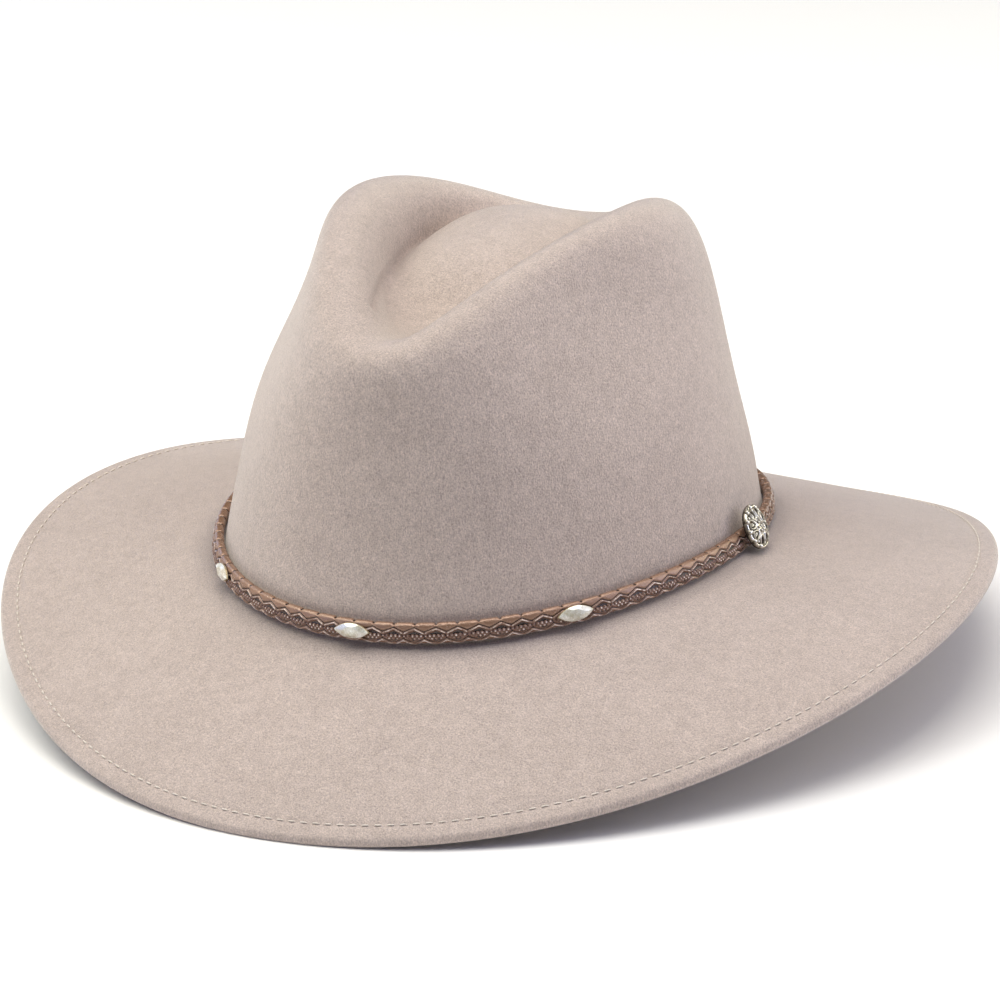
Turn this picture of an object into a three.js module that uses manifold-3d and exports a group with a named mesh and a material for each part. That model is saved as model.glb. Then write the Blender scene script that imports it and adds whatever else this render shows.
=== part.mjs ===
// Outback hat: a creased felt crown and a dipped felt brim in one piece, with an embossed band,
// three faceted spots and an openwork concho.
// Millimetres, +Z up. The origin lies on the surface that the hat stands on, under the middle of the brim.
// The front of the hat is -Y and the wearer's left is +X.

import * as THREE from 'three';
import { ConvexGeometry } from 'three/addons/geometries/ConvexGeometry.js';
import { ParametricGeometry } from 'three/addons/geometries/ParametricGeometry.js';
import { mergeVertices } from 'three/addons/utils/BufferGeometryUtils.js';
import Module from 'manifold-3d';

// Driving dimensions

const FELT_THICKNESS = 2.2;       // wall of the crown and the brim
const EDGE_RADIUS = 2.0;          // the brim edge is folded under, so it is twice this thick
const FOLD_END = 0.50;            // where the folded edge ends, in steps from the edge
const FOLD_STEP_END = 0.56;       // where the wall is a single layer again
const CROWN_CENTRE_Y = -3.8;      // the brim reaches further back than forward of the crown
const BRIM_BELLY = 0.10;          // how much the brim rounds over between the crown and the edge

// The tables give sizes at five directions from the front: 0, 45, 90, 135 and 180 degrees.
const BRIM_EDGE = {
  radii: [171.0, 164.5, 166.0, 166.5, 178.5],   // from the crown's centre line to the edge's middle
  heights: [1.2, 13.2, 33.8, 20.8, 1.2],        // of the middle of the rolled edge
};

// Share of the way from the edge to the break at each ring of the brim.
const BRIM_STOPS = [0, 0.22, 0.44, 0.66, 0.84, 0.94];

// Rings of the crown from the break up over the crest and down into the crease.
const CROWN_COLUMNS = ['name', 'halfLength', 'halfWidth', 'shiftBack', 'egg', 'heights'];
const CROWN_ROWS = [
  ['break', 102.0, 87.0, 0.0, 0.00, [40.5, 42.9, 44.8, 39.5, 36.5]],
  ['foot', 101.5, 86.2, 0.0, 0.01, [44.0, 46.4, 48.3, 43.0, 40.0]],
  ['collar', 100.4, 85.1, 0.0, 0.015, [50.5, 53.0, 55.0, 49.5, 46.5]],
  ['skirt', 97.0, 83.2, 1.0, 0.02, [63.5, 62.5, 69.0, 62.5, 60.0]],
  ['wall', 92.5, 76.8, 0.5, 0.03, [85.5, 87.0, 95.0, 88.0, 86.0]],
  ['upper', 89.0, 70.5, 0.5, 0.08, [105.0, 111.5, 118.5, 116.0, 108.0]],
  ['shoulder', 85.5, 62.0, -1.5, 0.20, [125.5, 135.0, 144.0, 136.0, 125.0]],
  ['crest', 80.0, 49.0, 0.0, 0.27, [130.0, 144.0, 158.5, 145.5, 131.0]],
  ['inner', 70.0, 30.0, 1.0, 0.32, [130.0, 141.0, 148.0, 142.5, 130.5]],
  ['valley', 55.0, 34.0, 5.0, 0.24, [123.0, 126.0, 128.0, 129.0, 133.5]],
  ['bump', 39.0, 26.0, 9.0, 0.14, [122.0, 132.0, 138.5, 142.5, 141.5]],
  ['top', 23.0, 11.0, 9.0, 0.00, [138.0, 139.1, 141.0, 142.9, 144.0]],
];
const CROWN_TOP = { y: 9.0, z: 142.5 };

// The two dents that pinch the front of the crown, one on each side.
const PINCH = { angle: 69.5, spread: 26, step: 11.6, reach: 1.05, depth: 7 };

// Hatband: a rounded strip that lies round the foot of the crown.
const BAND_HEIGHT = 6.4;
const BAND_THICKNESS = 3.2;
const BAND_STEP = 6.86;           // step of the felt surface at the band's mid height
const BAND_GAP = 0.8;             // from the wall to the band at its mid height
const BAND_SQUARENESS = 0.55;     // 1 is an ellipse, less is closer to a rectangle

// Trims on the band: pointed oval spots and a round concho, each with its direction from the front,
// the gap from the band's mid height to its flat back, the rise of its centre above that height and its tilt.
// The concho is wider than the band, so it stands off on a post and leans back, to clear the brim.
const SPOTS = [
  { name: 'front_spot', angle: 0, gap: 0.3, rise: 0, tilt: 0 },
  { name: 'left_spot', angle: 44.5, gap: 0.3, rise: 0, tilt: 0 },
  { name: 'right_spot', angle: -42, gap: 0.3, rise: 0, tilt: 0 },
];
const CONCHO = { name: 'concho', angle: 92.5, gap: 1.4, rise: 2.4, tilt: 12 };
const SPOT_LENGTH = 12.6;
const SPOT_HEIGHT = 5.0;
const CONCHO_RADIUS = 7.6;
const CONCHO_RIM = { radius: 6.7, halfWidth: 0.75, top: 1.9 };
const POST = { radius: 1.5, reach: 1.3 };   // behind the concho's middle
const CONCHO_PETALS = 8;

// Fineness of the faceted surfaces
const STEPS_AROUND = 64;
const BAND_STEPS_AROUND = 72;
const BAND_SIDES = 12;

const radians = THREE.MathUtils.degToRad;
const CROWN = CROWN_ROWS.map((row) => Object.fromEntries(row.map((cell, i) => [CROWN_COLUMNS[i], cell])));

// Steps count the rings: 0 is the brim edge, BREAK_STEP the break and LAST_STEP the top of the crown.
const BREAK_STEP = BRIM_STOPS.length;
const LAST_STEP = BREAK_STEP + CROWN.length;

// Surface of the felt

/** Value at angle t of a smooth even curve through five values at 0, 45, 90, 135 and 180 degrees. */
function around(values, t) {
  const last = values.length - 1;
  const half = (i) => (i === 0 || i === last ? 0.5 : 1);
  let sum = 0;
  for (let k = 0; k <= last; k += 1) {
    const term = values.reduce((a, v, j) => a + half(j) * v * Math.cos((Math.PI * j * k) / last), 0);
    sum += (2 / last) * half(k) * term * Math.cos(k * t);
  }
  return sum;
}

/** Point of one crown ring: an oval whose width narrows towards the front by its egg factor. */
function crownRing(ring, t) {
  return new THREE.Vector3(
    ring.halfWidth * Math.sin(t) * (1 - ring.egg * Math.cos(t)),
    CROWN_CENTRE_Y + ring.shiftBack - ring.halfLength * Math.cos(t),
    around(ring.heights, t),
  );
}

/** Point of one brim ring, a share of the way from the edge to the break, with a rounded rise. */
function brimRing(share, t) {
  const radius = around(BRIM_EDGE.radii, t);
  const edge = new THREE.Vector3(
    radius * Math.sin(t),
    CROWN_CENTRE_Y - radius * Math.cos(t),
    around(BRIM_EDGE.heights, t) + EDGE_RADIUS,
  );
  const toBreak = crownRing(CROWN[0], t).sub(edge);
  const belly = toBreak.z * BRIM_BELLY * share * (1 - share);
  edge.addScaledVector(toBreak, share);
  edge.z += belly;
  return edge;
}

/** Control point of ring i at angle t, with one mirrored ring beyond the edge and one beyond the top. */
function controlPoint(i, t) {
  if (i < 0) return brimRing(BRIM_STOPS[0], t).multiplyScalar(2).sub(brimRing(BRIM_STOPS[1], t));
  if (i < BREAK_STEP) return brimRing(BRIM_STOPS[i], t);
  if (i < LAST_STEP) return crownRing(CROWN[i - BREAK_STEP], t);
  if (i === LAST_STEP) return new THREE.Vector3(0, CROWN_CENTRE_Y + CROWN_TOP.y, CROWN_TOP.z);
  return crownRing(CROWN.at(-1), t + Math.PI);
}

/** Inward push of the two front dents: a bell curve in the angle times a bell curve in the step. */
function pinchDepth(t, step) {
  const angle = Math.abs(THREE.MathUtils.radToDeg(Math.atan2(Math.sin(t), Math.cos(t))));
  const across = (angle - PINCH.angle) / PINCH.spread;
  const along = (step - PINCH.step) / PINCH.reach;
  return PINCH.depth * Math.exp(-across * across - along * along);
}

/** Outer surface of the felt: a uniform cubic B-spline through the rings, less the front dents. */
function feltPoint(t, step) {
  const first = Math.min(Math.floor(step), LAST_STEP - 1);
  const f = step - first;
  const weights = [(1 - f) ** 3, 3 * f ** 3 - 6 * f ** 2 + 4, -3 * f ** 3 + 3 * f ** 2 + 3 * f + 1, f ** 3];
  const point = new THREE.Vector3();
  weights.forEach((w, k) => point.addScaledVector(controlPoint(first - 1 + k, t), w / 6));
  const reach = Math.hypot(point.x, point.y);
  if (reach > 0) {
    const keep = 1 - pinchDepth(t, step) / reach;
    point.x *= keep;
    point.y *= keep;
  }
  return point;
}

/** Frame of the felt surface: along the rim, up the wall and out of the surface. */
function feltFrame(angle, step) {
  const SMALL = 1e-3;
  const atTop = step > LAST_STEP - SMALL;
  const t = atTop ? 0 : angle;
  const up = feltPoint(t, Math.min(step + SMALL, LAST_STEP)).sub(feltPoint(t, Math.max(step - SMALL, 0)));
  const along = atTop
    ? feltPoint(t + Math.PI / 2, LAST_STEP - SMALL).sub(feltPoint(t + Math.PI / 2, LAST_STEP))
    : feltPoint(t + SMALL, step).sub(feltPoint(t - SMALL, step));
  const out = along.clone().cross(up).normalize();
  return { along: along.normalize(), up: up.normalize(), out };
}

/** Thickness of the felt: two layers in the folded edge and one layer everywhere else. */
function feltThickness(step) {
  const single = THREE.MathUtils.clamp((step - FOLD_END) / (FOLD_STEP_END - FOLD_END), 0, 1);
  return THREE.MathUtils.lerp(2 * EDGE_RADIUS, FELT_THICKNESS, single);
}

/** The wall is flattened where it rests on the surface that the hat stands on. */
function rest(point) {
  point.z = Math.max(point.z, 0);
  return point;
}

function outerPoint(t, step) {
  return rest(feltPoint(t, step));
}

function innerPoint(t, step) {
  return rest(feltPoint(t, step).addScaledVector(feltFrame(t, step).out, -feltThickness(step)));
}

/** Point of the rolled edge: turn is 0 on the upper side, 90 outermost and 180 on the underside. */
function edgePoint(t, turn) {
  const { up, out } = feltFrame(t, 0);
  const a = radians(turn);
  return rest(feltPoint(t, 0)
    .addScaledVector(out, EDGE_RADIUS * (Math.cos(a) - 1))
    .addScaledVector(up, -EDGE_RADIUS * Math.sin(a)));
}

/** Steps from one step number to another, with the given number of parts. */
function steps(from, to, parts) {
  return Array.from({ length: parts }, (_, i) => from + ((to - from) * i) / parts);
}

// Closed bodies

/** Merges the vertices of a closed geometry and drops the triangles that shrink to a line. */
function closedBody(geometry) {
  geometry.deleteAttribute('normal');
  geometry.deleteAttribute('uv');
  const merged = mergeVertices(geometry, 1e-4);
  const corners = Array.from(merged.index.array);
  const kept = [];
  for (let i = 0; i < corners.length; i += 3) {
    const [a, b, c] = corners.slice(i, i + 3);
    if (a !== b && b !== c && c !== a) kept.push(a, b, c);
  }
  merged.setIndex(kept);
  merged.computeVertexNormals();
  return merged;
}

/** Felt body: down the inside from its top, round the rolled edge and up the outside. */
function feltGeometry() {
  const inside = [
    ...steps(LAST_STEP, LAST_STEP - 4, 5),
    ...steps(LAST_STEP - 4, BREAK_STEP + 4, 5),
    ...steps(BREAK_STEP + 4, BREAK_STEP + 2, 2),
    ...steps(BREAK_STEP + 2, BREAK_STEP - 1, 6),
    ...steps(BREAK_STEP - 1, 1, 3),
    1, FOLD_STEP_END, FOLD_END,
  ].map((step) => (t) => innerPoint(t, step));
  const edge = [180, 158, 136, 108, 72, 36].map((turn) => (t) => edgePoint(t, turn));
  const outside = [
    0, FOLD_END,
    ...steps(1, BREAK_STEP - 1, 4),
    ...steps(BREAK_STEP - 1, BREAK_STEP + 2, 7),
    ...steps(BREAK_STEP + 2, BREAK_STEP + 6, 6),
    ...steps(BREAK_STEP + 6, BREAK_STEP + 10, 11),
    ...steps(BREAK_STEP + 10, LAST_STEP, 2),
    LAST_STEP,
  ].map((step) => (t) => outerPoint(t, step));
  const rows = [...inside, ...edge, ...outside];
  const surface = (u, v, target) => {
    target.copy(rows[Math.round(v * (rows.length - 1))](2 * Math.PI * u));
  };
  return closedBody(new ParametricGeometry(surface, STEPS_AROUND, rows.length - 1));
}

// Hatband

/** Middle line of the band and its directions, in front of the wall at the band's mid height. */
function bandFrame(t) {
  const frame = feltFrame(t, BAND_STEP);
  const centre = feltPoint(t, BAND_STEP).addScaledVector(frame.out, BAND_GAP + BAND_THICKNESS / 2);
  return { centre, ...frame };
}

/** Band: a rounded rectangular section, a superellipse, carried round the crown. */
function bandGeometry() {
  const rounded = (value) => Math.sign(value) * Math.abs(value) ** BAND_SQUARENESS;
  const surface = (u, v, target) => {
    const { centre, up, out } = bandFrame(2 * Math.PI * u);
    const a = 2 * Math.PI * v;
    target.copy(centre)
      .addScaledVector(out, (BAND_THICKNESS / 2) * rounded(Math.cos(a)))
      .addScaledVector(up, (BAND_HEIGHT / 2) * rounded(Math.sin(a)));
  };
  return closedBody(new ParametricGeometry(surface, BAND_STEPS_AROUND, BAND_SIDES));
}

// Trims on the band: their own frame has x along the band, y up and z outwards, with z = 0 at the back.

/** Points of a pointed oval, the overlap of two equal arcs, at a height above the back. */
function pointedOval(scale, height, count) {
  const a = (scale * SPOT_LENGTH) / 2;
  const b = (scale * SPOT_HEIGHT) / 2;
  const radius = (a * a + b * b) / (2 * b);
  const halfTurn = Math.asin(a / radius);
  return Array.from({ length: count }, (_, i) => {
    const side = i < count / 2 ? 1 : -1;
    const turn = halfTurn * (1 - (4 * (i % (count / 2))) / count);
    const rise = radius * Math.cos(turn) - radius + b;
    return new THREE.Vector3(side * radius * Math.sin(turn), side * rise, height);
  });
}

/** Spot: a flat back, a low girdle, two rows of facets and a flat table. */
function spotGeometry() {
  return closedBody(new ConvexGeometry([
    ...pointedOval(0.96, 0, 16),
    ...pointedOval(1, 0.6, 16),
    ...pointedOval(0.74, 1.25, 8),
    ...pointedOval(0.46, 1.55, 8),
  ]));
}

/** Solid for joining, from any closed geometry. */
function solid(wasm, geometry) {
  const body = closedBody(geometry);
  return new wasm.Manifold(new wasm.Mesh({
    numProp: 3,
    vertProperties: Float32Array.from(body.attributes.position.array),
    triVerts: Uint32Array.from(body.index.array),
  }));
}

/** Pierced plate of the concho: a scalloped disc with a ring of leaf-shaped gaps, domed outwards. */
function conchoPlate() {
  const OUTLINE_POINTS = 32;
  const SCALLOP = 0.4;
  const PLATE_THICKNESS = 1.0;
  const DOME = 1.3;
  const GAP_INNER = 2.7;
  const GAP_OUTER = 5.3;
  const GAP_WIDTH = 0.75;
  const polar = (radius, angle) => new THREE.Vector2(radius * Math.cos(angle), radius * Math.sin(angle));
  const rim = Array.from({ length: OUTLINE_POINTS }, (_, i) => {
    const angle = (2 * Math.PI * i) / OUTLINE_POINTS;
    return polar(CONCHO_RADIUS - SCALLOP * (1 - Math.cos(CONCHO_PETALS * angle)) / 2, angle);
  });
  const disc = new THREE.Shape(rim);
  for (let petal = 0; petal < CONCHO_PETALS; petal += 1) {
    const middle = (2 * Math.PI * petal) / CONCHO_PETALS;
    const leaf = Array.from({ length: 8 }, (_, i) => {
      const turn = (2 * Math.PI * i) / 8;
      const radius = (GAP_INNER + GAP_OUTER) / 2 - ((GAP_OUTER - GAP_INNER) / 2) * Math.cos(turn);
      const half = GAP_WIDTH * Math.sin(turn);
      return polar(radius, middle + half / radius);
    });
    disc.holes.push(new THREE.Path(leaf));
  }
  const plate = new THREE.ExtrudeGeometry(disc, { depth: PLATE_THICKNESS, bevelEnabled: false });
  const points = plate.attributes.position;
  for (let i = 0; i < points.count; i += 1) {
    const r = Math.hypot(points.getX(i), points.getY(i)) / CONCHO_RADIUS;
    points.setZ(i, points.getZ(i) + DOME * (1 - r * r));
  }
  return plate;
}

/** Rim ring turned about the concho's axis: its section is a rounded bead, from the flat back outwards. */
function conchoRing() {
  const BEAD_SIDES = 6;
  const { radius, halfWidth, top } = CONCHO_RIM;
  const halfHeight = top / 2;
  const bead = Array.from({ length: BEAD_SIDES + 1 }, (_, i) => {
    const turn = (2 * Math.PI * i) / BEAD_SIDES;
    return new THREE.Vector2(radius + halfWidth * Math.cos(turn), halfHeight * (1 + Math.sin(turn)));
  });
  return new THREE.LatheGeometry(bead, 24).rotateX(Math.PI / 2);
}

/** Centre of the concho: a post, a round boss with a grooved shoulder and a low dome. */
function conchoBoss() {
  const post = [[0, -POST.reach], [POST.radius, -POST.reach], [POST.radius, 0.9]];
  const foot = [[2.7, 0.9], [2.95, 1.7]];
  const shoulder = [[2.7, 2.5], [2.3, 2.6], [1.9, 2.3]];
  const button = [[1.4, 3.0], [0.7, 3.3], [0, 3.4]];
  const profile = [...post, ...foot, ...shoulder, ...button].map(([r, z]) => new THREE.Vector2(r, z));
  return new THREE.LatheGeometry(profile, 12).rotateX(Math.PI / 2);
}

/** Concho: the pierced plate joined to its rim ring and the centre boss. */
function conchoGeometry(wasm) {
  const parts = [
    conchoPlate(),
    conchoRing(),
    conchoBoss(),
  ].map((geometry) => solid(wasm, geometry));
  const joined = parts.reduce((whole, part) => whole.add(part));
  const mesh = joined.getMesh();
  const geometry = new THREE.BufferGeometry();
  geometry.setAttribute('position', new THREE.BufferAttribute(Float32Array.from(mesh.vertProperties), 3));
  geometry.setIndex(Array.from(mesh.triVerts));
  return closedBody(geometry);
}

// Meshes

const FELT = new THREE.MeshStandardMaterial({ color: 0xc4b2a6, roughness: 0.95, metalness: 0 });
const LEATHER = new THREE.MeshStandardMaterial({ color: 0x7a5645, roughness: 0.5, metalness: 0 });
const CHAMPAGNE = new THREE.MeshStandardMaterial({ color: 0xe6e0cc, roughness: 0.15, metalness: 1 });
const OLD_SILVER = new THREE.MeshStandardMaterial({ color: 0x9c9684, roughness: 0.35, metalness: 1 });

function named(name, geometry, material) {
  const mesh = new THREE.Mesh(geometry, material);
  mesh.name = name;
  return mesh;
}

/** Sets a trim in front of the band's outer face, at its own direction, gap, rise and tilt. */
function seatOnBand(trim, geometry, material) {
  const mesh = named(trim.name, geometry, material);
  const { centre, along, up, out } = bandFrame(radians(trim.angle));
  mesh.position.copy(centre)
    .addScaledVector(out, BAND_THICKNESS / 2 + trim.gap)
    .addScaledVector(up, trim.rise);
  mesh.quaternion.setFromRotationMatrix(new THREE.Matrix4().makeBasis(along, out.clone().cross(along), out));
  mesh.rotateX(-radians(trim.tilt));
  return mesh;
}

const wasm = await Module();
wasm.setup();

const hat = new THREE.Group();
hat.name = 'outback_hat';
hat.add(named('felt_body', feltGeometry(), FELT));

const band = new THREE.Group();
band.name = 'band_and_trims';
band.add(named('hat_band', bandGeometry(), LEATHER));
for (const spot of SPOTS) band.add(seatOnBand(spot, spotGeometry(), CHAMPAGNE));
band.add(seatOnBand(CONCHO, conchoGeometry(wasm), OLD_SILVER));
hat.add(band);

export default hat;
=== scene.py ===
# %% [markdown]
# Outback hat: a lesson in dressing a model.
# A workshop model gives this hat its real size and its solids. This script loads that model, and then makes
# the looks: brushed felt with a folded and stitched brim edge, an embossed leather band, faceted metal spots
# and an openwork concho. Shapes are worked out in millimetres, as on a hatter's block, and become metres in
# the mesh.

import bpy
import numpy as np
from mathutils import Matrix, Vector


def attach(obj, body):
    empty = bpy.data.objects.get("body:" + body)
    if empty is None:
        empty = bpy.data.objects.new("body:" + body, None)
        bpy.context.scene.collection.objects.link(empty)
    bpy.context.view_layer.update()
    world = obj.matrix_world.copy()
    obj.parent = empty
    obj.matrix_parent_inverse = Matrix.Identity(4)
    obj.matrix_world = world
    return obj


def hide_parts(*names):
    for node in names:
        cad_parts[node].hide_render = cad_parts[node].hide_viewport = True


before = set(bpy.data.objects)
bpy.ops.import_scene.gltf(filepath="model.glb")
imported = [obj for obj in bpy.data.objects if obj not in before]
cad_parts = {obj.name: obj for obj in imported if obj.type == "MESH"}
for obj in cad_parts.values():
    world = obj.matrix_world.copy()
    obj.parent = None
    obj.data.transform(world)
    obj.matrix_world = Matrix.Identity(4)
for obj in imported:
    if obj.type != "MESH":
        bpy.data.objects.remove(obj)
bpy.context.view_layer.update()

# %% [markdown]
# Every piece here is a closed surface on a grid: rows run along it and columns go once round it. One helper
# turns such a grid, or many copies of it, into vertices and faces, and another puts them into a mesh. The
# first measures the volume that the faces enclose, and turns them round when it is negative, so that they
# always point out.

# %% Angles once round, lengths along a line and unit vectors
FINE_TURN = np.linspace(0, 2 * np.pi, 4001)  # close enough for measuring a length


def full_turn(count):
    """Angles at even distances once round, from 0."""
    return np.linspace(0, 2 * np.pi, count, endpoint=False)


def lengths_along(line):
    """Length of a line of points, from its first point to each of them."""
    return np.concatenate([[0], np.cumsum(np.linalg.norm(np.diff(line, axis=0), axis=1))])


def unit(vectors):
    """Vectors with their length made 1."""
    return vectors / np.linalg.norm(vectors, axis=-1, keepdims=True)


# %% Grids become closed meshes
MM = 0.001


def closed_grid(points, poles):
    """Vertices and faces of closed surfaces. points has the shape (copies, rows, columns, 3), and the columns
    go once round. With poles, the first and the last row are single points, joined by fans of triangles.
    Without poles, the last row is joined to the first one, as in a ring."""
    copies, rows, columns, _ = points.shape
    inner = points[:, 1:-1] if poles else points
    index = np.arange(inner.shape[1] * columns).reshape(inner.shape[1], columns)
    vertices = inner.reshape(copies, -1, 3)
    upper, lower = (index[:-1], index[1:]) if poles else (index, np.roll(index, -1, 0))
    quads = np.stack([upper, np.roll(upper, -1, 1), np.roll(lower, -1, 1), lower], -1).reshape(-1, 4)
    fans = np.empty((0, 3), int)
    if poles:
        first, last = index.size, index.size + 1
        vertices = np.concatenate([vertices, points[:, :1, 0], points[:, -1:, 0]], 1)
        start, end = index[0], index[-1]
        fans = np.concatenate([
            np.stack([np.full(columns, first), np.roll(start, -1), start], -1),
            np.stack([np.full(columns, last), end, np.roll(end, -1)], -1),
        ])
    if enclosed_volume(vertices[0], quads, fans) < 0:
        quads, fans = quads[:, ::-1], fans[:, ::-1]
    offsets = (np.arange(copies) * vertices.shape[1])[:, None, None]
    return vertices.reshape(-1, 3), (quads + offsets).reshape(-1, 4), (fans + offsets).reshape(-1, 3)


def enclosed_volume(vertices, quads, fans):
    """Sum of the signed pyramids from the origin to each triangle, by the triple product of its corners."""
    triangles = np.concatenate([quads[:, [0, 1, 2]], quads[:, [0, 2, 3]], fans])
    a, b, c = (vertices[triangles[:, corner]] for corner in range(3))
    return np.einsum("ij,ij->", a, np.cross(b, c)) / 6


def add_object(name, data):
    """Object with its data, placed in the scene."""
    item = bpy.data.objects.new(name, data)
    bpy.context.scene.collection.objects.link(item)
    return item


def make_piece(name, parts, material, smooth=True, **attributes):
    """Mesh object from closed grids in millimetres, with named numbers stored on its vertices."""
    vertices, faces, start = [], [], 0
    for points, quads, fans in parts:
        vertices.append(points)
        faces += (quads + start).tolist() + (fans + start).tolist()
        start += len(points)
    mesh = bpy.data.meshes.new(name)
    mesh.from_pydata(np.concatenate(vertices) * MM, [], faces)
    mesh.polygons.foreach_set("use_smooth", np.full(len(faces), smooth))
    for key, values in attributes.items():
        layer = mesh.attributes.new(key, "FLOAT", "POINT")
        layer.data.foreach_set("value", np.asarray(values, np.float32).ravel())
    mesh.materials.append(material)
    piece = add_object(name, mesh)
    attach(piece, "root")
    print(name, start, "vertices,", len(faces), "faces")
    return piece

# %% [markdown]
# Brushed felt is a mat of short hairs. From a distance it is one soft colour with wide, faint clouds, and
# close by it is full of light and dark specks. Leather has a like grain, and so has thread, each at its own
# scale. So two node groups are built once: one for clouds and one for grain. Each material places them with
# its own values. A third group reads how high a point lies on an embossed or cast piece, and puts out a mask
# for raised places and one for sunken places. On the leather, raised places turn a pale pink that is part
# wear and part painted highlight.

# %% Small helpers for shader nodes
def add_node(tree, kind, inputs, **settings):
    """Adds a node with its settings, and feeds each named input from a socket or a plain value."""
    node = tree.nodes.new("ShaderNode" + kind)
    for key, value in settings.items():
        setattr(node, key, value)
    for key, value in inputs.items():
        if isinstance(value, bpy.types.NodeSocket):
            tree.links.new(value, node.inputs[key])
        else:
            node.inputs[key].default_value = value
    return node


def calculate(tree, operation, *values):
    """Output of a Math node for one, two or three values."""
    return add_node(tree, "Math", dict(enumerate(values)), operation=operation).outputs[0]


def blend_numbers(tree, factor, first, second):
    """Output of a Mix node for two numbers, whose sockets are the third and the fourth."""
    return add_node(tree, "Mix", {0: factor, 2: first, 3: second}, data_type="FLOAT").outputs[0]


def blend_colours(tree, factor, first, second, blend_type="MIX"):
    """Output of a Mix node for two colours, whose sockets are the seventh and the eighth."""
    inputs = {0: factor, 6: first, 7: second}
    return add_node(tree, "Mix", inputs, data_type="RGBA", blend_type=blend_type).outputs[2]


def remap(tree, value, low, high, new_low=0.0, new_high=1.0):
    """A value carried from one range to another, and kept inside it."""
    inputs = {"Value": value, "From Min": low, "From Max": high, "To Min": new_low, "To Max": new_high}
    return add_node(tree, "MapRange", inputs).outputs[0]


def noise(tree, vector, scale, detail, **shape):
    """Output of a noise texture at a scale, with its detail and its other sockets by name."""
    inputs = {"Vector": vector, "Scale": scale, "Detail": detail, **shape}
    return add_node(tree, "TexNoise", inputs).outputs["Fac"]


def object_coordinates(tree):
    """Coordinates that are fixed to the piece, in metres."""
    return tree.nodes.new("ShaderNodeTexCoord").outputs["Object"]


def read_attribute(tree, name):
    """Number stored on the piece's vertices."""
    return add_node(tree, "Attribute", {}, attribute_name=name).outputs["Fac"]


def dress(tree, shader, colour, grain, strength, distance):
    """Feeds a shader its colour, and a bump from the grain, with a strength and a distance in metres."""
    bump = add_node(tree, "Bump", {"Height": grain["Height"], "Strength": strength, "Distance": distance})
    tree.links.new(colour, shader.inputs["Base Color"])
    tree.links.new(bump.outputs["Normal"], shader.inputs["Normal"])


def new_group(name, inputs, outputs):
    """Empty node group with named number and vector inputs, and named number outputs."""
    group = bpy.data.node_groups.new(name, "ShaderNodeTree")
    for socket, kind in inputs.items():
        group.interface.new_socket(socket, in_out="INPUT", socket_type="NodeSocket" + kind)
    for socket in outputs:
        group.interface.new_socket(socket, in_out="OUTPUT", socket_type="NodeSocketFloat")
    return group, group.nodes.new("NodeGroupInput").outputs, group.nodes.new("NodeGroupOutput").inputs


def place_group(tree, group, inputs):
    """Outputs of a copy of a node group in a material, with that material's own values."""
    return add_node(tree, "Group", inputs, node_tree=group).outputs


def new_material(name, **constants):
    """Material with its Principled shader, whose constant sockets are set by name, and its node tree."""
    material = bpy.data.materials.new(name)
    material.use_nodes = True
    shader = material.node_tree.nodes["Principled BSDF"]
    for key, value in constants.items():
        shader.inputs[key.replace("_", " ")].default_value = value
    return material, material.node_tree, shader


# %% Group for clouds of colour: a wide noise and a finer, weaker one
CLOUD_DETAIL, FINER_CLOUDS, FINER_SHARE = 2.0, 3.7, 0.35
CLOUD_RANGE = (0.36, 0.64)  # that both together mostly stay in

CLOUDS, socket_in, socket_out = new_group("soft_clouds", {"Vector": "Vector", "Size": "Float"}, ["Shade"])
wide_scale = calculate(CLOUDS, "DIVIDE", 1.0, socket_in["Size"])
narrow_scale = calculate(CLOUDS, "MULTIPLY", wide_scale, FINER_CLOUDS)
wide_noise = noise(CLOUDS, socket_in["Vector"], wide_scale, CLOUD_DETAIL)
narrow_noise = noise(CLOUDS, socket_in["Vector"], narrow_scale, CLOUD_DETAIL)
both = blend_numbers(CLOUDS, FINER_SHARE, wide_noise, narrow_noise)
CLOUDS.links.new(remap(CLOUDS, both, *CLOUD_RANGE), socket_out["Shade"])

# %% Group for grain: round specks and short fibres, with the size of a speck in metres
SPECK_DETAIL, SPECK_ROUGHNESS = 2.0, 0.6
FIBRE_SCALE, FIBRE_TURN = (1.0, 0.8, 0.22), (0.5, 0.35, 0.2)  # a low scale draws fibres out
FIBRE_FINENESS, FIBRE_DETAIL, FIBRE_DISTORTION = 1.7, 1.0, 0.6
GRAIN_RANGE = (0.3, 0.7)

GRAIN, socket_in, socket_out = new_group(
    "fine_grain", {"Vector": "Vector", "Size": "Float", "Fibres": "Float"}, ["Grain", "Height"])
speck_scale = calculate(GRAIN, "DIVIDE", 1.0, socket_in["Size"])
specks = noise(GRAIN, socket_in["Vector"], speck_scale, SPECK_DETAIL, Roughness=SPECK_ROUGHNESS)
stretch = {"Vector": socket_in["Vector"], "Scale": FIBRE_SCALE, "Rotation": FIBRE_TURN}
laid_down = add_node(GRAIN, "Mapping", stretch).outputs["Vector"]
fine_scale = calculate(GRAIN, "MULTIPLY", speck_scale, FIBRE_FINENESS)
fibres = noise(GRAIN, laid_down, fine_scale, FIBRE_DETAIL, Distortion=FIBRE_DISTORTION)
mixed = blend_numbers(GRAIN, socket_in["Fibres"], specks, fibres)
GRAIN.links.new(remap(GRAIN, mixed, *GRAIN_RANGE), socket_out["Grain"])
GRAIN.links.new(mixed, socket_out["Height"])

# %% Group for masks of raised and sunken places: the height of the relief, roughened by grain
GRAIN_MEAN = 0.5
MASK_GRAIN, MASK_FADE = 0.3, 0.35  # how far grain moves a mask, and how softly it fades

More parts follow.
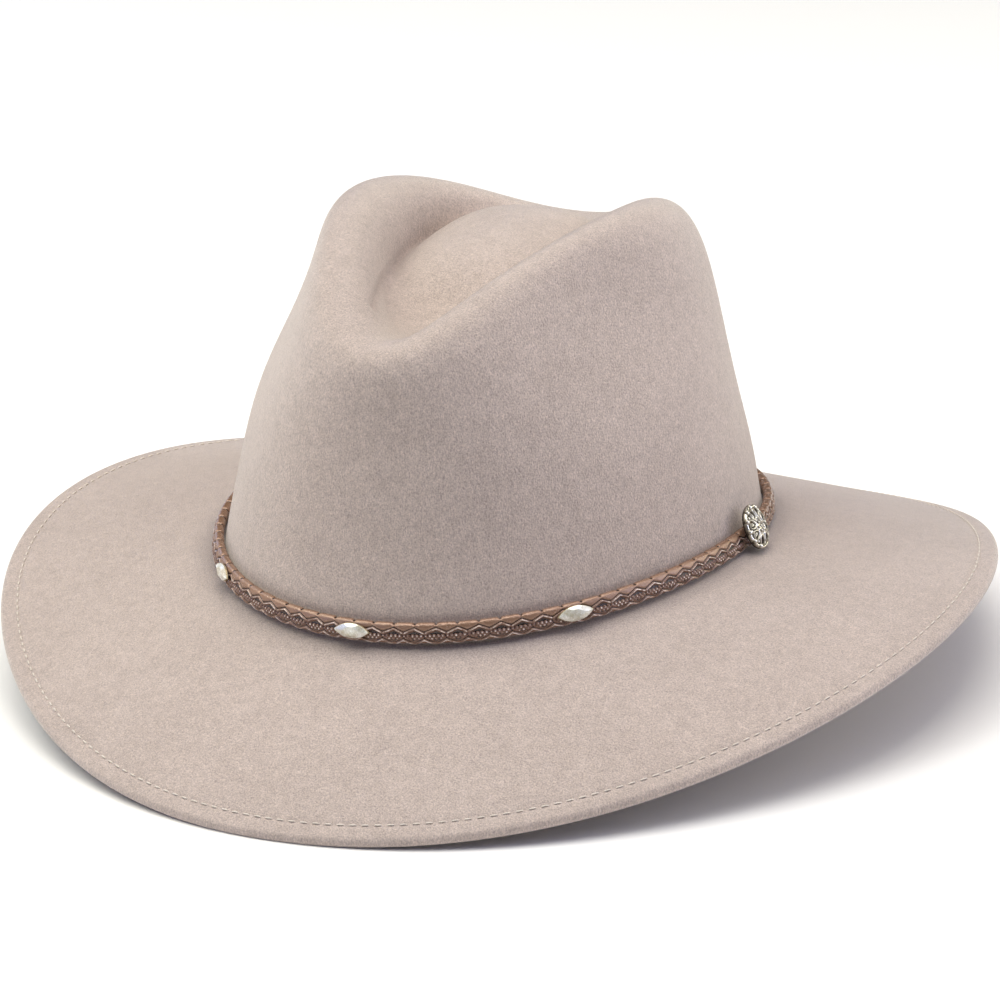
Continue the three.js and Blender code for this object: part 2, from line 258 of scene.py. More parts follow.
HEIGHT_MASKS, socket_in, socket_out = new_group(
    "height_masks", {"Relief": "Float", "Grain": "Float", "High": "Float", "Low": "Float"}, ["Raised", "Sunken"])
from_mean = calculate(HEIGHT_MASKS, "SUBTRACT", socket_in["Grain"], GRAIN_MEAN)
uneven = calculate(HEIGHT_MASKS, "MULTIPLY_ADD", from_mean, MASK_GRAIN, socket_in["Relief"])
for mask, start, operation in (("Raised", "High", "ADD"), ("Sunken", "Low", "SUBTRACT")):
    end = calculate(HEIGHT_MASKS, operation, socket_in[start], MASK_FADE)
    HEIGHT_MASKS.links.new(remap(HEIGHT_MASKS, uneven, socket_in[start], end), socket_out[mask])


def place_clouds(tree, size):
    """Clouds of a size in metres, fixed to the piece."""
    return place_group(tree, CLOUDS, {"Vector": object_coordinates(tree), "Size": size})["Shade"]


def place_grain(tree, size, fibres):
    """Grain with specks of a size in metres and a share of fibres, fixed to the piece."""
    return place_group(tree, GRAIN, {"Vector": object_coordinates(tree), "Size": size, "Fibres": fibres})


def place_relief_masks(tree, grain, high, low):
    """Masks for raised places above one height of the piece's relief and for sunken places below another."""
    inputs = {"Relief": read_attribute(tree, "relief"), "Grain": grain["Grain"], "High": high, "Low": low}
    return place_group(tree, HEIGHT_MASKS, inputs)


print("groups", [group.name for group in (CLOUDS, GRAIN, HEIGHT_MASKS)])

# %% [markdown]
# The felt of a hat starts as a cone, which is steamed over a block, creased by hand and pressed. Crown and
# brim are one piece, so one surface makes both here. It is a stack of ovals from the brim's edge up over the
# crest and down into the crease, and a smooth spline runs through them. A real brim has an oval that dips in
# front and at the back, which a few cosines round the hat describe. Sculpting by hand could make this too,
# but named ovals can be read, compared with a tape measure and changed.

# %% Sizes of the felt, in millimetres
FELT_THICKNESS = 2.2
EDGE_RADIUS = 2.0
FOLD_END, FOLD_STEP_END = 0.50, 0.56  # steps between which the folded edge thins to one felt
CROWN_CENTRE_Y = -3.8
BRIM_BELLY = 0.10
BRIM_RADII = [171.0, 164.5, 166.0, 166.5, 178.5]
BRIM_HEIGHTS = [1.2, 13.2, 33.8, 20.8, 1.2]
BRIM_STOPS = [0, 0.22, 0.44, 0.66, 0.84, 0.94]
# Each oval: half length, half width, shift back, egg factor, heights at 0, 45, 90, 135 and 180 degrees
CROWN = {
    "break": (102.0, 87.0, 0.0, 0.00, [40.5, 42.9, 44.8, 39.5, 36.5]),
    "foot": (101.5, 86.2, 0.0, 0.01, [44.0, 46.4, 48.3, 43.0, 40.0]),
    "collar": (100.4, 85.1, 0.0, 0.015, [50.5, 53.0, 55.0, 49.5, 46.5]),
    "skirt": (97.0, 83.2, 1.0, 0.02, [63.5, 62.5, 69.0, 62.5, 60.0]),
    "wall": (92.5, 76.8, 0.5, 0.03, [85.5, 87.0, 95.0, 88.0, 86.0]),
    "upper": (89.0, 70.5, 0.5, 0.08, [105.0, 111.5, 118.5, 116.0, 108.0]),
    "shoulder": (85.5, 62.0, -1.5, 0.20, [125.5, 135.0, 144.0, 136.0, 125.0]),
    "crest": (80.0, 49.0, 0.0, 0.27, [130.0, 144.0, 158.5, 145.5, 131.0]),
    "inner": (70.0, 30.0, 1.0, 0.32, [130.0, 141.0, 148.0, 142.5, 130.5]),
    "valley": (55.0, 34.0, 5.0, 0.24, [123.0, 126.0, 128.0, 129.0, 133.5]),
    "bump": (39.0, 26.0, 9.0, 0.14, [122.0, 132.0, 138.5, 142.5, 141.5]),
    "top": (23.0, 11.0, 9.0, 0.00, [138.0, 139.1, 141.0, 142.9, 144.0]),
}
CROWN_TOP = (0.0, CROWN_CENTRE_Y + 9.0, 142.5)
PINCH_ANGLE, PINCH_SPREAD, PINCH_STEP, PINCH_REACH, PINCH_DEPTH = 69.5, 26.0, 11.6, 1.05, 7.0
LAST_STEP = len(BRIM_STOPS) + len(CROWN)
NEAR_TOP = LAST_STEP - 0.02  # the surface has no direction at the top, where the ovals are a point


# %% The felt surface as a function of step and angle
def around(values, t):
    """Smooth even curve through five values at 0, 45, 90, 135 and 180 degrees: a sum of the cosines of 0 to 4
    times the angle, whose weights are the cosine transform of the values."""
    k = np.arange(len(values))
    last = len(values) - 1
    half = np.where((k == 0) | (k == last), 0.5, 1.0)
    weights = (2 / last) * half * (np.cos(np.pi * np.outer(k, k) / last) @ (half * np.asarray(values)))
    return np.cos(np.multiply.outer(t, k)) @ weights


def crown_oval(row, t):
    """Oval with the half width times the sine and the half length times the cosine of the angle, narrowed
    towards the front by its egg factor."""
    half_length, half_width, shift_back, egg, heights = row
    across = half_width * np.sin(t) * (1 - egg * np.cos(t))
    return np.stack([across, CROWN_CENTRE_Y + shift_back - half_length * np.cos(t), around(heights, t)], -1)


def brim_oval(share, t):
    """Point a share of the way from the edge to the break, with a rise that is a parabola of the share."""
    radius = around(BRIM_RADII, t)
    edge = np.stack([radius * np.sin(t), CROWN_CENTRE_Y - radius * np.cos(t),
                     around(BRIM_HEIGHTS, t) + EDGE_RADIUS], -1)
    to_break = crown_oval(CROWN["break"], t) - edge
    point = edge + share * to_break
    point[..., 2] += BRIM_BELLY * share * (1 - share) * to_break[..., 2]
    return point


def ovals(t):
    """All control ovals at the angles t, with one mirrored beyond the edge and one beyond the top."""
    brim = [brim_oval(stop, t) for stop in BRIM_STOPS]
    crown = [crown_oval(row, t) for row in CROWN.values()]
    top = np.broadcast_to(CROWN_TOP, brim[0].shape)
    return np.stack([2 * brim[0] - brim[1], *brim, *crown, top, crown_oval(CROWN["top"], t + np.pi)])


def felt(step, t):
    """Outer surface: the uniform cubic B-spline of the ovals at each step, with the x and y of a point
    shortened by the pinch, a bell curve of the angle times a bell curve of the step. t is a row of angles,
    and step fits it."""
    step = np.broadcast_to(step, np.broadcast_shapes(np.shape(step), np.shape(t)))
    first = np.minimum(step.astype(int), LAST_STEP - 1)
    f = step - first
    weights = [(1 - f) ** 3, 3 * f**3 - 6 * f**2 + 4, -3 * f**3 + 3 * f**2 + 3 * f + 1, f**3]
    control = ovals(t)
    columns = np.arange(len(t))
    points = sum(w[..., None] * control[first + k, columns] for k, w in enumerate(weights)) / 6
    angle = np.degrees(np.abs(np.arctan2(np.sin(t), np.cos(t))))
    pinch = PINCH_DEPTH * np.exp(-((angle - PINCH_ANGLE) / PINCH_SPREAD) ** 2
                                 - ((step - PINCH_STEP) / PINCH_REACH) ** 2)
    points[..., :2] *= (1 - pinch / np.hypot(points[..., 0], points[..., 1]))[..., None]
    return points


def felt_frame(step, t):
    """Directions on the surface from small differences: along the rim, up the wall, and out."""
    small = 1e-3
    step = np.minimum(step, NEAR_TOP)
    up = felt(step + small, t) - felt(np.maximum(step - small, 0), t)
    along = felt(step, t + small) - felt(step, t - small)
    return unit(along), unit(up), unit(np.cross(along, up))


print("crown top", felt(np.array([[float(LAST_STEP)]]), np.array([0.0]))[0, 0].round(1), "mm")

# %% [markdown]
# The finish of the felt is a light taupe. Its hairs catch the light at a glancing angle, so the rim of the
# crown looks paler, and a sheen on the shader does that. The specks are hairs of slightly different colours.
# They are too fine for the mesh, so grain drives both the colour and a bump. A number on the mesh makes the
# felt darker in a narrow strip all round under the band. That is no dye: it stands in for a part of the soft
# shadow there, which lamps as large as these wash out.

# %% Felt material
FELT_DARK, FELT_LIGHT = (0.475, 0.395, 0.352, 1.0), (0.585, 0.490, 0.440, 1.0)
FELT_SHADED = (0.395, 0.330, 0.302, 1.0)
FELT_SPECK_DARK, FELT_SPECK_LIGHT = (0.62, 0.62, 0.65, 1.0), (1.34, 1.33, 1.31, 1.0)
NARROW_SHARE = 0.65  # share of the narrow clouds beside the wide ones


def felt_material():
    """Wide and narrow clouds in the felt's colour, the strip of darker felt, and specks over all of it."""
    material, tree, shader = new_material(
        "brushed_felt", Roughness=0.92, Sheen_Weight=0.90, Sheen_Roughness=0.40, Specular_IOR_Level=0.15,
        Sheen_Tint=(0.98, 0.93, 0.88, 1.0))
    wide = place_clouds(tree, 0.030)
    narrow = place_clouds(tree, 0.0032)
    clouds = blend_numbers(tree, NARROW_SHARE, wide, narrow)
    grain = place_grain(tree, 0.00055, fibres=0.4)
    colour = blend_colours(tree, clouds, FELT_DARK, FELT_LIGHT)
    colour = blend_colours(tree, read_attribute(tree, "shade"), colour, FELT_SHADED)
    specks = blend_colours(tree, grain["Grain"], FELT_SPECK_DARK, FELT_SPECK_LIGHT)
    colour = blend_colours(tree, 1.0, colour, specks, "MULTIPLY")
    dress(tree, shader, colour, grain, strength=0.8, distance=0.0005)
    return material


FELT = felt_material()
print(FELT.name, "nodes:", len(FELT.node_tree.nodes))

# %% [markdown]
# A hatter folds the brim's edge under and stitches it, so the edge is a soft roll twice as thick as the felt.
# Under the brim the fold ends in a small cut step. The row of stitches pulls the felt in, which leaves a
# shallow furrow. The mesh runs down the inside from the top, across the fold, round the roll and up the
# outside, so it is one closed wall. The crown's two dents end in front in a sharp fold. Where the felt would
# reach below the table, it is pressed flat.

# %% Felt piece
FELT_COLUMNS, EDGE_ROWS = 304, 13
# Steps at which the rows of the wall come closer or further apart, and the rows from each to the next
INSIDE_STOPS = [LAST_STEP, 9, 5, 0.7, FOLD_STEP_END, FOLD_END, 0.42, 0.06]
INSIDE_ROWS = [45, 35, 17, 1, 3, 1, 6]
OUTSIDE_STOPS, OUTSIDE_ROWS = [0, 0.6, 5, 9, LAST_STEP], [15, 27, 47, 93]
STITCH_INSET = 6.4  # from the outermost edge to the row of stitches
FURROW_DEPTH, FURROW_WIDTH = 0.30, 1.0
CREASE_START, CREASE_BEND, CREASE_END = 34, 75, 112  # angles from the front, in degrees
CREASE_SLIDE = 0.8  # how far it leaves the valley's oval in front, in steps
CREASE_DEPTH, CREASE_WIDTH, CREASE_CORNERS = 1.25, 1.6, 9
SHADE_STEP, SHADE_REACH = 5.5, 1.0  # the strip of darker felt under the band, in steps of the surface


def step_at(inset, t):
    """Step of the surface at a distance in from the outermost edge: the first oval lies a known share of the
    brim's width further in, and the spline leaves the edge straight towards it."""
    width = np.linalg.norm(brim_oval(1.0, t) - brim_oval(0.0, t), axis=-1)
    return (inset - EDGE_RADIUS) / (BRIM_STOPS[1] * width)


def furrow(step, t):
    """Depth of the furrow that the stitches pull in: a bell curve of the distance from their row."""
    distance = STITCH_INSET - EDGE_RADIUS - step * (STITCH_INSET - EDGE_RADIUS) / step_at(STITCH_INSET, t)
    return FURROW_DEPTH * np.exp(-((distance / FURROW_WIDTH) ** 2))


def crease_line():
    """Line of the sharp fold in the left dent. It follows the oval called valley, and from the bend forwards
    its step falls evenly with the angle."""
    angle = np.linspace(CREASE_START, CREASE_END, CREASE_CORNERS)
    valley = len(BRIM_STOPS) + list(CROWN).index("valley")
    forward = np.clip((CREASE_BEND - angle) / (CREASE_BEND - CREASE_START), 0, 1)
    return felt(valley - CREASE_SLIDE * forward, np.radians(angle))


def crease(points):
    """Depth of the sharp fold at the foot of both dents: a bell curve of the distance from its line and from
    the line's mirror image. It is deepest at the front end of the line and runs out towards the other one."""
    points = np.concatenate([np.abs(points[..., :1]), points[..., 1:]], -1)
    distance, place = np.full(points.shape[:-1], np.inf), np.zeros(points.shape[:-1])
    line = crease_line()
    for number, (start, end) in enumerate(zip(line[:-1], line[1:])):
        share = np.clip((points - start) @ (end - start) / ((end - start) @ (end - start)), 0, 1)
        apart = np.linalg.norm(points - start - share[..., None] * (end - start), axis=-1)
        place = np.where(apart < distance, (number + share) / (len(line) - 1), place)
        distance = np.minimum(distance, apart)
    return CREASE_DEPTH * (1 - place) * np.exp(-((distance / CREASE_WIDTH) ** 2))


def pressed(points):
    """Points with their height kept at or above the table."""
    return np.concatenate([points[..., :2], np.maximum(points[..., 2:], 0.0)], -1)


def spread(stops, rows):
    """Column of steps from stop to stop, with the given number of even rows from each stop to the next."""
    return np.interp(np.arange(sum(rows) + 1), np.cumsum([0, *rows]), stops)[:, None]


def felt_wall():
    """Grid of the whole wall: offsets along the normal inside, a half circle at the edge, the surface
    outside. With it goes each point's share of darker felt, which depends on its step."""
    t = full_turn(FELT_COLUMNS)
    inside, outside = spread(INSIDE_STOPS, INSIDE_ROWS), spread(OUTSIDE_STOPS, OUTSIDE_ROWS)
    single = np.clip((inside - FOLD_END) / (FOLD_STEP_END - FOLD_END), 0, 1)
    thickness = 2 * EDGE_RADIUS + (FELT_THICKNESS - 2 * EDGE_RADIUS) * single
    turn = np.linspace(np.pi, 0, EDGE_ROWS, endpoint=False)[:, None, None]
    _, _, inside_out = felt_frame(inside, t)
    _, _, outside_out = felt_frame(outside, t)
    _, up, out = felt_frame(np.zeros(1), t)
    by_band = np.exp(-(((outside - SHADE_STEP) / SHADE_REACH) ** 4)) * np.ones_like(t)
    shade = np.concatenate([np.zeros((len(inside) + len(turn), len(t))), by_band])
    surface = felt(outside, t)
    hollow = furrow(outside, t) + crease(surface)
    rows = [
        felt(inside, t) - (thickness - furrow(inside, t))[..., None] * inside_out,
        felt(np.zeros((1, 1)), t) + EDGE_RADIUS * ((np.cos(turn) - 1) * out - np.sin(turn) * up),
        surface - hollow[..., None] * outside_out,
    ]
    return pressed(np.concatenate(rows))[None], np.append(shade[1:-1], [0, 0])


felt_points, felt_shade = felt_wall()
felt_shell = make_piece("felt_shell", [closed_grid(felt_points, poles=True)], FELT, shade=felt_shade)
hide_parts("felt_body")

# %% [markdown]
# The row of stitches is a running stitch in thick cream thread. Each stitch is a short tube that rises out of
# the felt and dives back into it, and two twisted strands show as a slant in its width. Modelling one and
# copying it by hand would never follow the brim, so all stitches are one array: their places are even
# distances along the row.

# %% Thread material
THREAD_SHADE, THREAD_LIGHT = (0.56, 0.49, 0.42, 1.0), (0.86, 0.79, 0.71, 1.0)


def thread_material():
    """Cream thread, shaded along its fibres."""
    material, tree, shader = new_material(
        "cream_thread", Roughness=0.75, Sheen_Weight=0.2, Specular_IOR_Level=0.3)
    grain = place_grain(tree, 0.0003, fibres=0.7)
    colour = blend_colours(tree, grain["Grain"], THREAD_SHADE, THREAD_LIGHT)
    dress(tree, shader, colour, grain, strength=0.5, distance=0.0001)
    return material


# %% Stitches on both sides of the brim
STITCH_PITCH, STITCH_LENGTH = 3.95, 2.75
THREAD_WIDTH, THREAD_HEIGHT = 0.62, 0.46
STITCH_RINGS, THREAD_SIDES = 9, 6
ARCH_RISE, ARCH_SINK = 0.9, 0.35  # of the thread's height: a stitch's arch, and its ends' dive
STRAND_BULGE, STRAND_SLANT = 0.10, 5.5  # share of the width, and radians over half a stitch


def stitch_row(side, shift):
    """Tubes along the stitch row, on the upper side for side 1 and on the lower side for side -1. A stitch
    rises in a flat arch, and its radius falls to nothing at both ends."""
    length = lengths_along(felt(step_at(STITCH_INSET, FINE_TURN), FINE_TURN))
    count = int(round(length[-1] / STITCH_PITCH))
    place = np.linspace(-1, 1, STITCH_RINGS)
    middle = (np.arange(count) + shift) * length[-1] / count
    t = np.interp(middle[:, None] + place * STITCH_LENGTH / 2, length, FINE_TURN, period=length[-1]).ravel()
    along, up, out = felt_frame(step_at(STITCH_INSET, t), t)
    depth = FURROW_DEPTH if side > 0 else 2 * EDGE_RADIUS - FURROW_DEPTH
    base = pressed(felt(step_at(STITCH_INSET, t), t) - depth * out)
    turn = full_turn(THREAD_SIDES)
    arch = np.tile(THREAD_HEIGHT * (ARCH_RISE * (1 - place**4) - ARCH_SINK), count)[:, None, None]
    radius = np.tile((1 - place**4) ** 0.25, count)[:, None]
    twist = 1 + STRAND_BULGE * np.cos(2 * turn + np.tile(STRAND_SLANT * place, count)[:, None])
    across = 0.5 * THREAD_WIDTH * radius * twist * np.cos(turn)
    rise = 0.5 * THREAD_HEIGHT * radius * twist * np.sin(turn)
    sideways = np.cross(out, along)[:, None, :]
    tubes = base[:, None] + side * out[:, None] * (arch + rise[..., None]) + sideways * across[..., None]
    return tubes.reshape(count, len(place), len(turn), 3)


edge_stitches = make_piece(
    "edge_stitches",
    [closed_grid(stitch_row(1, 0.0), poles=True), closed_grid(stitch_row(-1, 0.5), poles=True)],
    thread_material())

# %% [markdown]
# The hatband is a flat leather strip over a soft core, pressed between rollers that emboss it. Two zigzag
# grooves run along it: above the upper one lies a smooth row of half scales, between the two a darker row of
# six-sided scales filled with small pebbles, and below the lower one the smooth foot. A bump map could fake
# that, but the relief shows in the outline of the band where it turns away. So the relief is real: a height
# worked out from the distance along the band, counted in repeats, and the place round its section.

# %% Band path and section
BAND_HEIGHT, BAND_THICKNESS, BAND_SQUARENESS = 6.4, 3.2, 0.55
BAND_STEP, BAND_GAP = 6.86, 0.8
REPEATS, COLUMNS_PER_REPEAT, SECTION_POINTS = 90, 24, 45
BACK_BEYOND, BACK_PACE = -0.5, 0.2  # further in than the first, the points are sparse


def band_frame(t):
    """Middle of the band at the angles t, with its directions along, up and out: the felt's own, moved out by
    the gap and half the band's thickness."""
    step = np.full(np.shape(t), BAND_STEP)
    along, up, out = felt_frame(step, t)
    return felt(step, t) + (BAND_GAP + BAND_THICKNESS / 2) * out, along, up, out


def even_angles(count):
    """Angles at even distances along the band, and the band's whole length."""
    length = lengths_along(band_frame(FINE_TURN)[0])
    return np.interp(np.arange(count) * length[-1] / count, length, FINE_TURN), length[-1]


def band_section():
    """Points and normals of the rounded rectangle, a superellipse, and their distance round it from the
    middle of the outer face, positive upwards. The side towards the crown takes few points."""
    turn = np.linspace(-np.pi, np.pi, 8001)
    half = np.array([BAND_THICKNESS / 2, BAND_HEIGHT / 2])
    circle = np.stack([np.cos(turn), np.sin(turn)], -1)
    curve = half * np.sign(circle) * np.abs(circle) ** BAND_SQUARENESS
    place = lengths_along(curve)
    pace = np.diff(place)
    place -= np.interp(0, turn, place)
    wanted = np.concatenate([[0], np.cumsum(pace * np.where(curve[1:, 0] > BACK_BEYOND, 1.0, BACK_PACE))])
    even = np.interp(np.arange(SECTION_POINTS) * wanted[-1] / SECTION_POINTS, wanted, place)
    points = np.stack([np.interp(even, place, curve[:, axis]) for axis in (0, 1)], -1)
    normals = np.sign(points) * np.abs(points / half) ** (2 / BAND_SQUARENESS - 1) / half
    return points, unit(normals), even


# %% Band relief
UPPER_LINE, UPPER_RISE = 1.30, 0.72  # middle of the upper zigzag and how far it swings, in millimetres
LOWER_LINE, LOWER_RISE = -2.35, 0.80
TOOTH_SHARE = 0.45  # share of a repeat in which the upper zigzag falls
WANDER, WANDER_TURN = 0.02, 2.4  # the tooling is uneven by this share of a repeat, as a slow sine
EDGE_SOFTNESS = 0.1
# Height or depth in millimetres, and width
UPPER_GROOVE, LOWER_GROOVE, SEAM, NOTCH = (0.44, 0.25), (0.36, 0.24), (0.26, 0.22), (0.50, 0.45)
UPPER_RIDGE, LOWER_RIDGE = (0.30, 0.26), (0.28, 0.26)
UPPER_ASIDE, LOWER_ASIDE = 0.55, 0.50  # from the middle of a groove down to the ridge along it
SCALE_RISE, SCALE_DIP, NOTCH_FOOT = 0.10, (0.8, 1.2), 2.9  # the dip at a notch is a share, and its width
PEBBLES_PER_REPEAT, PEBBLE_RADIUS, PEBBLE_RISE, PEBBLE_SINK = 5, 0.56, 0.52, 0.14
PEBBLE_ROWS = [(-0.75, 0.0), (-1.55, 0.5)]
PEBBLES_BELOW, PEBBLES_ABOVE = 1.0, 0.5  # how far they keep from the upper and from the lower zigzag
FOOT_PALENESS = 0.5  # of the pale scales' colour, on the smooth foot
FULL_RELIEF = 0.3  # the height that counts as 1 for the masks of raised and sunken places


def zigzag(place):
    """Line from 1 straight down to -1 over the tooth's share of a repeat, and straight up again."""
    part = place % 1
    climb = (part - TOOTH_SHARE) / (1 - TOOTH_SHARE)
    return np.where(part < TOOTH_SHARE, 1 - 2 * part / TOOTH_SHARE, 2 * climb - 1)


def ridge(distance, height, width):
    """Bell curve of a distance: its height on the line, and falling to nothing over its width."""
    return height * np.exp(-((distance / width) ** 2))


def beyond(distance):
    """Smooth step from 0 to 1 over about half a millimetre."""
    return 1 / (1 + np.exp(-distance / EDGE_SOFTNESS))


def band_relief(place, height, repeat_length):
    """Height of the embossing in millimetres and a share of the pale scales' colour, at a place along the
    band in repeats and a height round its section. Two zigzag grooves and short upright ones make a row of
    six-sided scales between two rows of half scales. The scales bulge, a fine ridge lies along each groove,
    and pebbles, which are half spheres, fill the middle row."""
    tooth = zigzag(place + WANDER * np.sin(WANDER_TURN * place))
    from_upper = height - UPPER_LINE - UPPER_RISE * tooth
    from_lower = height - LOWER_LINE + LOWER_RISE * tooth
    top_row, middle_row = beyond(from_upper), beyond(-from_upper) * beyond(from_lower)
    to_seam = ((place - TOOTH_SHARE + 0.5) % 1 - 0.5) * repeat_length
    to_notch = ((place + 0.5) % 1 - 0.5) * repeat_length
    relief = SCALE_RISE * top_row * (1 - ridge(to_notch, *SCALE_DIP))
    relief -= ridge(from_upper, *UPPER_GROOVE) + ridge(from_lower, *LOWER_GROOVE)
    relief += ridge(from_upper + UPPER_ASIDE, *UPPER_RIDGE) + ridge(from_lower + LOWER_ASIDE, *LOWER_RIDGE)
    relief -= middle_row * ridge(to_seam, *SEAM)
    relief -= top_row * ridge(to_notch, *NOTCH) * beyond(height - NOTCH_FOOT)
    pebbled = beyond(from_lower - PEBBLES_ABOVE) * beyond(-from_upper - PEBBLES_BELOW)
    for row, shift in PEBBLE_ROWS:
        aside = ((place * PEBBLES_PER_REPEAT + shift) % 1 - 0.5) * repeat_length / PEBBLES_PER_REPEAT
        ball = np.sqrt(np.clip(1 - (aside**2 + (height - row) ** 2) / PEBBLE_RADIUS**2, 0, 1))
        relief += (PEBBLE_RISE * ball - PEBBLE_SINK) * pebbled
    return relief, top_row + FOOT_PALENESS * beyond(-from_lower)


# %% Leather material
LEATHER_GROOVE, LEATHER_BODY = (0.034, 0.012, 0.006, 1.0), (0.215, 0.110, 0.072, 1.0)
# the pale pink on raised places is part wear and part painted highlight
LEATHER_SCALE, LEATHER_WORN_HIGHLIGHT = (0.345, 0.200, 0.130, 1.0), (1.00, 0.85, 0.76, 1.0)
WORN_HIGHLIGHT_CLOUDS, LEAST_WORN_HIGHLIGHT = (0.30, 0.70), 0.10  # wear and painted highlight show fully in the clouds, and this much beside them


def leather_material():
    """Brown leather with paler scales, rubbing and painted highlight where it stands out, dark grooves."""
    material, tree, shader = new_material("embossed_leather", Specular_IOR_Level=1.0, Metallic=0.30)
    clouds = place_clouds(tree, 0.0030)
    grain = place_grain(tree, 0.00055, fibres=0.25)
    relief_masks = place_relief_masks(tree, grain, high=0.40, low=-0.50)
    body = blend_colours(tree, read_attribute(tree, "scales"), LEATHER_BODY, LEATHER_SCALE)
    worn_highlight = calculate(tree, "MULTIPLY", relief_masks["Raised"], remap(tree, clouds, *WORN_HIGHLIGHT_CLOUDS, LEAST_WORN_HIGHLIGHT, 1.0))
    raised_colour = blend_colours(tree, worn_highlight, body, LEATHER_WORN_HIGHLIGHT)
    # the grooves turn near black below a height of the relief
    colour = blend_colours(tree, relief_masks["Sunken"], raised_colour, LEATHER_GROOVE)
    tree.links.new(remap(tree, grain["Grain"], 0.0, 1.0, 0.12, 0.30), shader.inputs["Roughness"])
    dress(tree, shader, colour, grain, strength=0.9, distance=0.0003)
    return material


# %% Band piece
def band_surface():
    """Section carried along the path, and moved along its own normal by the relief."""
    columns = REPEATS * COLUMNS_PER_REPEAT
    t, length = even_angles(columns)
    section, normals, height = band_section()
    relief, scales = band_relief((np.arange(columns) / COLUMNS_PER_REPEAT)[:, None], height, length / REPEATS)
    centre, _, up, out = band_frame(t)
    offset = section + relief[..., None] * normals
    points = centre[:, None] + offset[..., :1] * out[:, None] + offset[..., 1:] * up[:, None]
    print("band", round(length, 1), "mm round, repeat", round(length / REPEATS, 2), "mm")
    return points[None], relief / FULL_RELIEF, scales


band_points, band_heights, band_scales = band_surface()
band_leather = make_piece("band_leather", [closed_grid(band_points, poles=False)], leather_material(),
                          relief=band_heights, scales=band_scales)
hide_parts("hat_band")

# %% [markdown]
# Three spots sit on the band. Each is a pointed oval of pale plated metal, cut in flat facets like a long
# gem, in a thin rim. A facet is a plane, so the height of the spot is simply the lowest of several sloping
# planes and of the flat top. That cuts crisp edges wherever two planes cross, without placing a single corner
# by hand.

# %% Trims stand on the band, in a frame of their own
TRIM_GAP = 0.3


def seat(points, angle, gap, rise, tilt=0.0):
    """Carries points with x along the band, y up and z outwards to the band's outer face, at an angle in
    degrees from the front, and leans them back by the tilt."""
    centre, along, wall, out = (vector[0] for vector in band_frame(np.radians([angle])))
    base = centre + (BAND_THICKNESS / 2 + gap) * out + rise * wall
    lean = np.radians(tilt)
    upward = np.cross(out, along)
    up, front = np.cos(lean) * upward - np.sin(lean) * out, np.cos(lean) * out + np.sin(lean) * upward
    return base + points[..., :1] * along + points[..., 1:2] * up + points[..., 2:] * front


# %% Champagne metal
PLATE_DARK, PLATE_LIGHT, RIM_GOLD = (0.66, 0.61, 0.46, 1.0), (1.0, 1.0, 0.94, 1.0), (0.36, 0.26, 0.12, 1.0)


def champagne_material():
    """Pale plating in faint clouds, with a rim of darker gold."""
    material, tree, shader = new_material("champagne_plating", Metallic=0.30, Specular_IOR_Level=0.8)
    clouds = place_clouds(tree, 0.0022)
    grain = place_grain(tree, 0.0003, fibres=0.8)
    relief_masks = place_relief_masks(tree, grain, high=0.6, low=0.35)
    plate = blend_colours(tree, clouds, PLATE_DARK, PLATE_LIGHT)
    colour = blend_colours(tree, relief_masks["Sunken"], plate, RIM_GOLD)
    tree.links.new(remap(tree, grain["Grain"], 0.0, 1.0, 0.15, 0.30), shader.inputs["Roughness"])
    dress(tree, shader, colour, grain, strength=0.15, distance=0.00005)
    return material


CHAMPAGNE = champagne_material()

# %% Spots
SPOT_LENGTH, SPOT_HEIGHT, SPOT_TOP, RIM_RADIUS = 12.6, 5.0, 1.6, 0.28
GEM_SHARE, GEM_BACK = 0.95, 0.05  # of the outline, and above the back of the spot
RIM_MIDDLE, RIM_STRETCH = 0.35, 1.1  # its height, and how much taller than wide its section is
OUTLINE_POINTS, GEM_RINGS, RIM_SIDES = 96, 25, 10
SPOT_ANGLES = {"front_spot": 0.0, "left_spot": 44.5, "right_spot": -42.0}
# Facet planes: direction in degrees, slope, height at the outline
FACETS = [(angle, 0.95, 0.50) for angle in (32, 90, 148, 212, 270, 328)]
FACETS += [(angle, 0.42, 0.85) for angle in (0, 62, 118, 180, 242, 298)]


def oval_reach(turn):
    """Distance from the middle of a pointed oval to its outline. Two equal arcs make the outline, and the
    centre of each lies beyond the middle by the drop, so the distance is the root of a quadratic."""
    a, b = SPOT_LENGTH / 2, SPOT_HEIGHT / 2
    radius = (a * a + b * b) / (2 * b)
    drop = radius - b
    return np.sqrt(radius**2 - (drop * np.cos(turn)) ** 2) - drop * np.abs(np.sin(turn))


def facet_height(x, y):
    """Lowest of the flat top and the facet planes. Each plane is at its height where it touches the outline,
    and rises inwards by its slope."""
    turn = full_turn(720)
    outline = oval_reach(turn) * np.stack([np.cos(turn), np.sin(turn)])
    height = np.full(np.shape(x), SPOT_TOP)
    for angle, slope, start in FACETS:
        across, upward = np.cos(np.radians(angle)), np.sin(np.radians(angle))
        reach = (across * outline[0] + upward * outline[1]).max()
        height = np.minimum(height, start + slope * (reach - across * x - upward * y))
    return height


